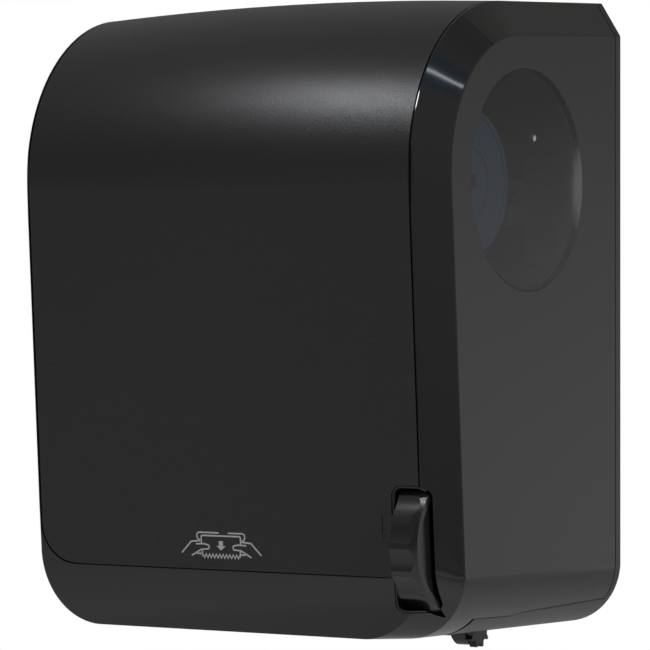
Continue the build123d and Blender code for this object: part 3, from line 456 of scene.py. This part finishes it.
# %% [markdown]
# ## Treads on the drum's grip bands
#
# The five rubber bands on the pull drum have a fine cross tread, so that they hold wet paper. Hundreds
# of equal ribs are best placed by a rule, so Geometry Nodes make them: points round a circle, a short
# bar on each point turned outwards, and the ring of bars repeated along the drum. The tread stops at
# the slot where the knife comes out. The ribs stand only a fifth of a millimetre proud, so that the
# pinch tyres still roll on them.

# %% The tread tree with its named sizes
# Angles are in degrees round the drum; the treads keep their margin from the knife's slot.
SLOT_ANGLE = 30.0
SLOT_MARGIN = 8.8
RIB_COUNT = 84
RIB_STEP = 4.125
RIB_LENGTH = 11 * MM
RIB_RADIUS = 0.6 * MM
RIB_PROUD = 0.2 * MM
RIB_SIDES = 8
BAND_COUNT = 5
BAND_PITCH = 42 * MM
# A size without a value is given when the tree is run.
TREAD_SIZES = [
    ("Ribs", "NodeSocketInt", RIB_COUNT),
    ("First angle", "NodeSocketFloat", radians(SLOT_ANGLE + SLOT_MARGIN)),
    ("Step angle", "NodeSocketFloat", radians(RIB_STEP)),
    ("Bands", "NodeSocketInt", BAND_COUNT),
    ("Band pitch", "NodeSocketFloat", BAND_PITCH),
    ("Radius", "NodeSocketFloat", None),
    ("Rib length", "NodeSocketFloat", RIB_LENGTH),
    ("Rib radius", "NodeSocketFloat", RIB_RADIUS),
    ("Drum axis", "NodeSocketVector", None),
    ("Rubber", "NodeSocketMaterial", None),
]


def make_tread_tree():
    tree = bpy.data.node_groups.new("band_treads", "GeometryNodeTree")
    for label, kind, value in TREAD_SIZES:
        socket = tree.interface.new_socket(label, in_out="INPUT", socket_type=kind)
        if value is not None:
            socket.default_value = value
    tree.interface.new_socket("Geometry", in_out="OUTPUT", socket_type="NodeSocketGeometry")
    return tree, tree.nodes.new("NodeGroupInput").outputs, tree.nodes.new("NodeGroupOutput")


def combine(tree, x, y, z):
    node = tree.nodes.new("ShaderNodeCombineXYZ")
    for slot, value in zip(node.inputs, (x, y, z)):
        feed(tree, slot, value)
    return node.outputs[0]


def place_on_points(tree, points, shape, turn=None):
    node = tree.nodes.new("GeometryNodeInstanceOnPoints")
    link(tree, points, node.inputs["Points"])
    link(tree, shape, node.inputs["Instance"])
    if turn is not None:
        link(tree, turn, node.inputs["Rotation"])
    return node.outputs["Instances"]


# %% One ring of ribs, repeated along the drum
def fill_tread_tree(tree, sizes, result):
    index = tree.nodes.new("GeometryNodeInputIndex").outputs[0]
    turned = maths(tree, "MULTIPLY", index, sizes["Step angle"])
    angle = maths(tree, "ADD", turned, sizes["First angle"])
    depth = maths(tree, "MULTIPLY", maths(tree, "COSINE", angle, 0.0), sizes["Radius"])
    height = maths(tree, "MULTIPLY", maths(tree, "SINE", angle, 0.0), sizes["Radius"])
    circle = tree.nodes.new("GeometryNodePoints")
    link(tree, sizes["Ribs"], circle.inputs["Count"])
    link(tree, combine(tree, 0, depth, height), circle.inputs["Position"])

    bar = tree.nodes.new("GeometryNodeMeshCylinder")
    bar.inputs["Vertices"].default_value = RIB_SIDES
    link(tree, sizes["Rib radius"], bar.inputs["Radius"])
    link(tree, sizes["Rib length"], bar.inputs["Depth"])
    lying = tree.nodes.new("GeometryNodeTransform")
    lying.inputs["Rotation"].default_value = (0, pi / 2, 0)
    link(tree, bar.outputs["Mesh"], lying.inputs["Geometry"])
    ring = place_on_points(tree, circle.outputs[0], lying.outputs[0], combine(tree, angle, 0, 0))

    row = tree.nodes.new("GeometryNodePoints")
    middle = maths(tree, "MULTIPLY", maths(tree, "SUBTRACT", sizes["Bands"], 1.0), 0.5)
    along = maths(tree, "MULTIPLY", maths(tree, "SUBTRACT", index, middle), sizes["Band pitch"])
    link(tree, sizes["Bands"], row.inputs["Count"])
    link(tree, combine(tree, along, 0, 0), row.inputs["Position"])
    rings = place_on_points(tree, row.outputs[0], ring)

    seated = tree.nodes.new("GeometryNodeTransform")
    link(tree, sizes["Drum axis"], seated.inputs["Translation"])
    link(tree, rings, seated.inputs["Geometry"])
    realized = tree.nodes.new("GeometryNodeRealizeInstances")
    link(tree, seated.outputs[0], realized.inputs["Geometry"])
    coated = tree.nodes.new("GeometryNodeSetMaterial")
    link(tree, realized.outputs[0], coated.inputs["Geometry"])
    link(tree, sizes["Rubber"], coated.inputs["Material"])
    link(tree, coated.outputs[0], result.inputs["Geometry"])


# %% Run the tree on the bands' real place and keep its plain mesh
def run_tree(name, tree, **values):
    """Mesh made by a geometry tree with these input values, as a plain object at the origin."""
    holder = add_object(name + "_holder", bpy.data.meshes.new(name + "_holder"))
    modifier = holder.modifiers.new("tree", "NODES")
    modifier.node_group = tree
    for item in tree.interface.items_tree:
        label = item.name.replace(" ", "_")
        if item.in_out == "INPUT" and label in values:
            modifier[item.identifier] = values[label]
    holder.update_tag()
    made = holder.evaluated_get(bpy.context.evaluated_depsgraph_get())
    mesh = bpy.data.meshes.new_from_object(made)
    holder.modifiers.remove(modifier)
    bpy.data.objects.remove(holder)
    mesh.name = name
    # The holder's own empty slot comes before the rubber.
    mesh.materials.pop(index=0)
    return add_object(name, mesh)


joints = frame["record"]["behaviour"]["joints"]
JOINT_PLACE = {joint["name"]: joint["pos_m"] for joint in joints}
bands_low, bands_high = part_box("grip_bands")
BAND_RADIUS = (bands_high[2] - bands_low[2]) / 2
tread_tree, tread_sizes, tread_result = make_tread_tree()
fill_tread_tree(tread_tree, tread_sizes, tread_result)
treads = run_tree("band_treads", tread_tree, Radius=BAND_RADIUS + RIB_PROUD - RIB_RADIUS,
                  Drum_axis=JOINT_PLACE["drum_spin"], Rubber=rubber_black)
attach(treads, "drum")
print("faces of the treads:", len(treads.data.polygons))

# %% [markdown]
# ## Stage, light and camera
#
# The floor is a pale disc under the dispenser. A glossy black body shows little but what it mirrors,
# so the room is drawn in the world by direction: a white backdrop behind that sweeps the flat side
# and fades upwards, a weak ceiling, a narrow bright strip that runs down the side's edge, a window
# pane with its tube for the bevel, and pale ground for everything that looks down. The camera sees
# plain white. Four small lamps do the rest: a soft one above the front for the glow on the rounded
# top, one for the glint on the front's edge, a broad dim one at the left that lifts the printed
# sign, and one beside the window so that the roll holder behind the smoke shows.

# %% Floor
FLOOR_DROP = 0.13
FLOOR_Z = cad_low.z - FLOOR_DROP
FLOOR_RADIUS = 1.0
FLOOR_SIDES = 96
FLOOR_COLOUR = (0.8, 0.8, 0.8, 1)
FLOOR_ROUGHNESS = 0.7


def make_floor():
    bpy.ops.mesh.primitive_circle_add(
        vertices=FLOOR_SIDES, radius=FLOOR_RADIUS, fill_type="NGON", location=(0, 0, FLOOR_Z)
    )
    floor = bpy.context.object
    floor.name = "floor"
    material, _, shader, _ = new_material("floor_pale")
    shader.inputs["Base Color"].default_value = FLOOR_COLOUR
    shader.inputs["Roughness"].default_value = FLOOR_ROUGHNESS
    floor.data.materials.append(material)


make_floor()


# %% World
# Each patch of light has its direction, the cosines of its edge and of its core, and its level.
BACKDROP = ((0.54, 0.84, 0.0), 0.72, 0.97, 0.46)
BESIDE = ((1, 0, 0), 0.6, 0.75, 1.0)
SIDE_BOUNCE = ((-0.54, -0.84, 0.0), 0.4, 0.98, 0.07)
FAR_SIDE = ((0.95, 0.15, 0.25), 0.8, 1.0, 0.14)
CEILING = ((-0.42, 0.2, 0.88), 0.3, 0.95, 0.18)
WINDOW_STRIP = ((0.335, 0.941, 0.03), 0.9986, 0.9997, 0.9)
# Each band has its lower and upper height and the width of its soft edges, and each ramp its
# start, its end and the levels there.
PANE_BAND = (0.455, 0.585, 0.008)
TUBE_BAND = (0.513, 0.527, 0.004)
BACKDROP_FADE = (-0.06, 0.12, 1.05, 0.2)
GROUND = (-0.14, -0.19, 0.0, 0.55)
ROOM_LEVEL = 0.1
PANE_LEVEL = 0.05
TUBE_LEVEL = 9.0
MATT_LEVEL = 0.35
WHITE = (1, 1, 1, 1)
PANE_BLUE = (0.22, 0.55, 0.9, 1)


def world_lobe(tree, direction, aim, edge, core, level):
    """Soft patch of light round one direction: from nothing at the edge cosine to its level."""
    dot = tree.nodes.new("ShaderNodeVectorMath")
    dot.operation = "DOT_PRODUCT"
    dot.inputs[1].default_value = Vector(aim).normalized()
    link(tree, direction, dot.inputs[0])
    patch = tree.nodes.new("ShaderNodeMapRange")
    patch.interpolation_type = "SMOOTHSTEP"
    patch.inputs["From Min"].default_value = edge
    patch.inputs["From Max"].default_value = core
    patch.inputs["To Max"].default_value = level
    link(tree, dot.outputs["Value"], patch.inputs["Value"])
    return patch.outputs["Result"]


def world_ramp(tree, value, start, end, low, high):
    """Straight run from low to high as the value goes from start to end."""
    ramp = tree.nodes.new("ShaderNodeMapRange")
    ramp.inputs["From Min"].default_value = start
    ramp.inputs["From Max"].default_value = end
    ramp.inputs["To Min"].default_value = low
    ramp.inputs["To Max"].default_value = high
    link(tree, value, ramp.inputs["Value"])
    return ramp.outputs["Result"]


def world_band(tree, value, low, high, soft):
    """One between two values and nothing outside, with soft edges."""
    opening = world_ramp(tree, value, low, low + soft, 0, 1)
    return maths(tree, "MULTIPLY", opening, world_ramp(tree, value, high - soft, high, 1, 0))


def total(tree, *values):
    room = values[0]
    for value in values[1:]:
        room = maths(tree, "ADD", room, value)
    return room


def make_world():
    world = bpy.data.worlds.new("studio")
    bpy.context.scene.world = world
    world.use_nodes = True
    tree = world.node_tree
    tree.nodes.clear()
    direction = tree.nodes.new("ShaderNodeTexCoord").outputs["Generated"]
    split = tree.nodes.new("ShaderNodeSeparateXYZ")
    link(tree, direction, split.inputs[0])
    height = split.outputs["Z"]
    falling = world_ramp(tree, height, *BACKDROP_FADE)
    backdrop = maths(tree, "MULTIPLY", world_lobe(tree, direction, *BACKDROP), falling)
    beside = world_lobe(tree, direction, *BESIDE)
    pane = maths(tree, "MULTIPLY", beside, world_band(tree, height, *PANE_BAND))
    tube = maths(tree, "MULTIPLY", beside, world_band(tree, height, *TUBE_BAND))
    room = total(
        tree,
        ROOM_LEVEL,
        backdrop,
        world_lobe(tree, direction, *SIDE_BOUNCE),
        world_lobe(tree, direction, *FAR_SIDE),
        world_lobe(tree, direction, *CEILING),
        world_lobe(tree, direction, *WINDOW_STRIP),
        world_ramp(tree, height, *GROUND),
        maths(tree, "MULTIPLY", pane, PANE_LEVEL),
        maths(tree, "MULTIPLY", tube, TUBE_LEVEL),
    )
    rays = tree.nodes.new("ShaderNodeLightPath")
    glossy, through = rays.outputs["Is Glossy Ray"], rays.outputs["Is Transmission Ray"]
    mirrored = maths(tree, "MAXIMUM", glossy, through)
    plain = maths(tree, "MULTIPLY", maths(tree, "SUBTRACT", 1.0, mirrored), MATT_LEVEL)
    seen = maths(tree, "ADD", plain, maths(tree, "MULTIPLY", mirrored, room))
    level = maths(tree, "MAXIMUM", seen, rays.outputs["Is Camera Ray"])
    dusk = tree.nodes.new("ShaderNodeMix")
    dusk.data_type = "RGBA"
    dusk.inputs["A"].default_value = WHITE
    dusk.inputs["B"].default_value = PANE_BLUE
    pane_only = maths(tree, "SUBTRACT", pane, tube)
    link(tree, maths(tree, "MULTIPLY", pane_only, mirrored), dusk.inputs["Factor"])
    background = tree.nodes.new("ShaderNodeBackground")
    link(tree, dusk.outputs["Result"], background.inputs["Color"])
    link(tree, level, background.inputs["Strength"])
    output = tree.nodes.new("ShaderNodeOutputWorld")
    link(tree, background.outputs[0], output.inputs[0])


make_world()


# %% Lamps
# Powers are in watts; the mirror directions are where the camera's view bounces to.
KEY_POWER, KEY_REACH, KEY_SIZE = 0.85, 0.5, (0.12, 0.09)
KEY_COLOUR = (0.95, 0.97, 1.0)
GLINT_POWER, GLINT_REACH, GLINT_SIZE = 1.2, 1.0, (0.1, 0.1)
FILL_POWER, FILL_SIZE = 8.0, (0.6, 0.6)
FILL_PLACE, FILL_AIM = (-1.3, -1.0, 0.3), (-0.1, -0.2, -0.1)
PEEK_POWER, PEEK_SIZE = 2.8, (0.12, 0.12)
PEEK_OFFSET = Vector((0.5, -0.25, 0.1))


def add_softbox(name, place, aim, size, power, colour=(1, 1, 1)):
    lamp = bpy.data.lights.new(name, "AREA")
    lamp.shape = "RECTANGLE"
    lamp.size, lamp.size_y = size
    lamp.energy = power
    lamp.color = colour
    holder = add_object(name, lamp)
    holder.visible_camera = False
    holder.location = place
    holder.rotation_euler = (Vector(aim) - Vector(place)).to_track_quat("-Z", "Y").to_euler()
    return holder


GLOW = Vector((0.122, -0.234, 0.139))
GLOW_MIRROR = Vector((-0.46, -0.58, 0.67))
add_softbox("key", GLOW + KEY_REACH * GLOW_MIRROR, GLOW, KEY_SIZE, KEY_POWER, KEY_COLOUR)
EDGE = Vector((0.146, -0.228, -0.108))
EDGE_MIRROR = Vector((0.315, -0.281, 0.907))
add_softbox("glint", EDGE + GLINT_REACH * EDGE_MIRROR, EDGE, GLINT_SIZE, GLINT_POWER)
fill = add_softbox("fill", FILL_PLACE, FILL_AIM, FILL_SIZE, FILL_POWER)
fill.visible_glossy = False
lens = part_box("window_right")
lens_middle = (Vector(lens[0]) + Vector(lens[1])) / 2
peek = add_softbox("peek", lens_middle + PEEK_OFFSET, lens_middle, PEEK_SIZE, PEEK_POWER)
peek.visible_glossy = False

# %% Camera
AZIMUTH = radians(32.664)
ELEVATION = radians(-0.028)
CAMERA_DISTANCE = 2.403137
CAMERA_TARGET = Vector((0.0, -0.1, 0.007))
FOCAL_PIXELS = 3597.839
FRAME_PIXELS = 650.0
CENTRE_X = 332.391
CENTRE_Y = 312.945
SENSOR_WIDTH = 36.0
CLIP_END = 50.0


def make_camera():
    back = Vector((sin(AZIMUTH) * cos(ELEVATION), -cos(AZIMUTH) * cos(ELEVATION), sin(ELEVATION)))
    right = Vector((cos(AZIMUTH), sin(AZIMUTH), 0.0))
    up = back.cross(right)
    data = bpy.data.cameras.new("camera")
    data.sensor_width = SENSOR_WIDTH
    data.lens = FOCAL_PIXELS * data.sensor_width / FRAME_PIXELS
    data.shift_x = -(CENTRE_X - FRAME_PIXELS / 2) / FRAME_PIXELS
    data.shift_y = (CENTRE_Y - FRAME_PIXELS / 2) / FRAME_PIXELS
    data.clip_end = CLIP_END
    camera = add_object("camera", data)
    turn = Matrix((right, up, back)).transposed().to_4x4()
    camera.matrix_world = Matrix.Translation(CAMERA_TARGET + back * CAMERA_DISTANCE) @ turn
    bpy.context.scene.camera = camera


make_camera()
bpy.context.scene.view_settings.view_transform = "Standard"

# %% Finish
print("scene built")
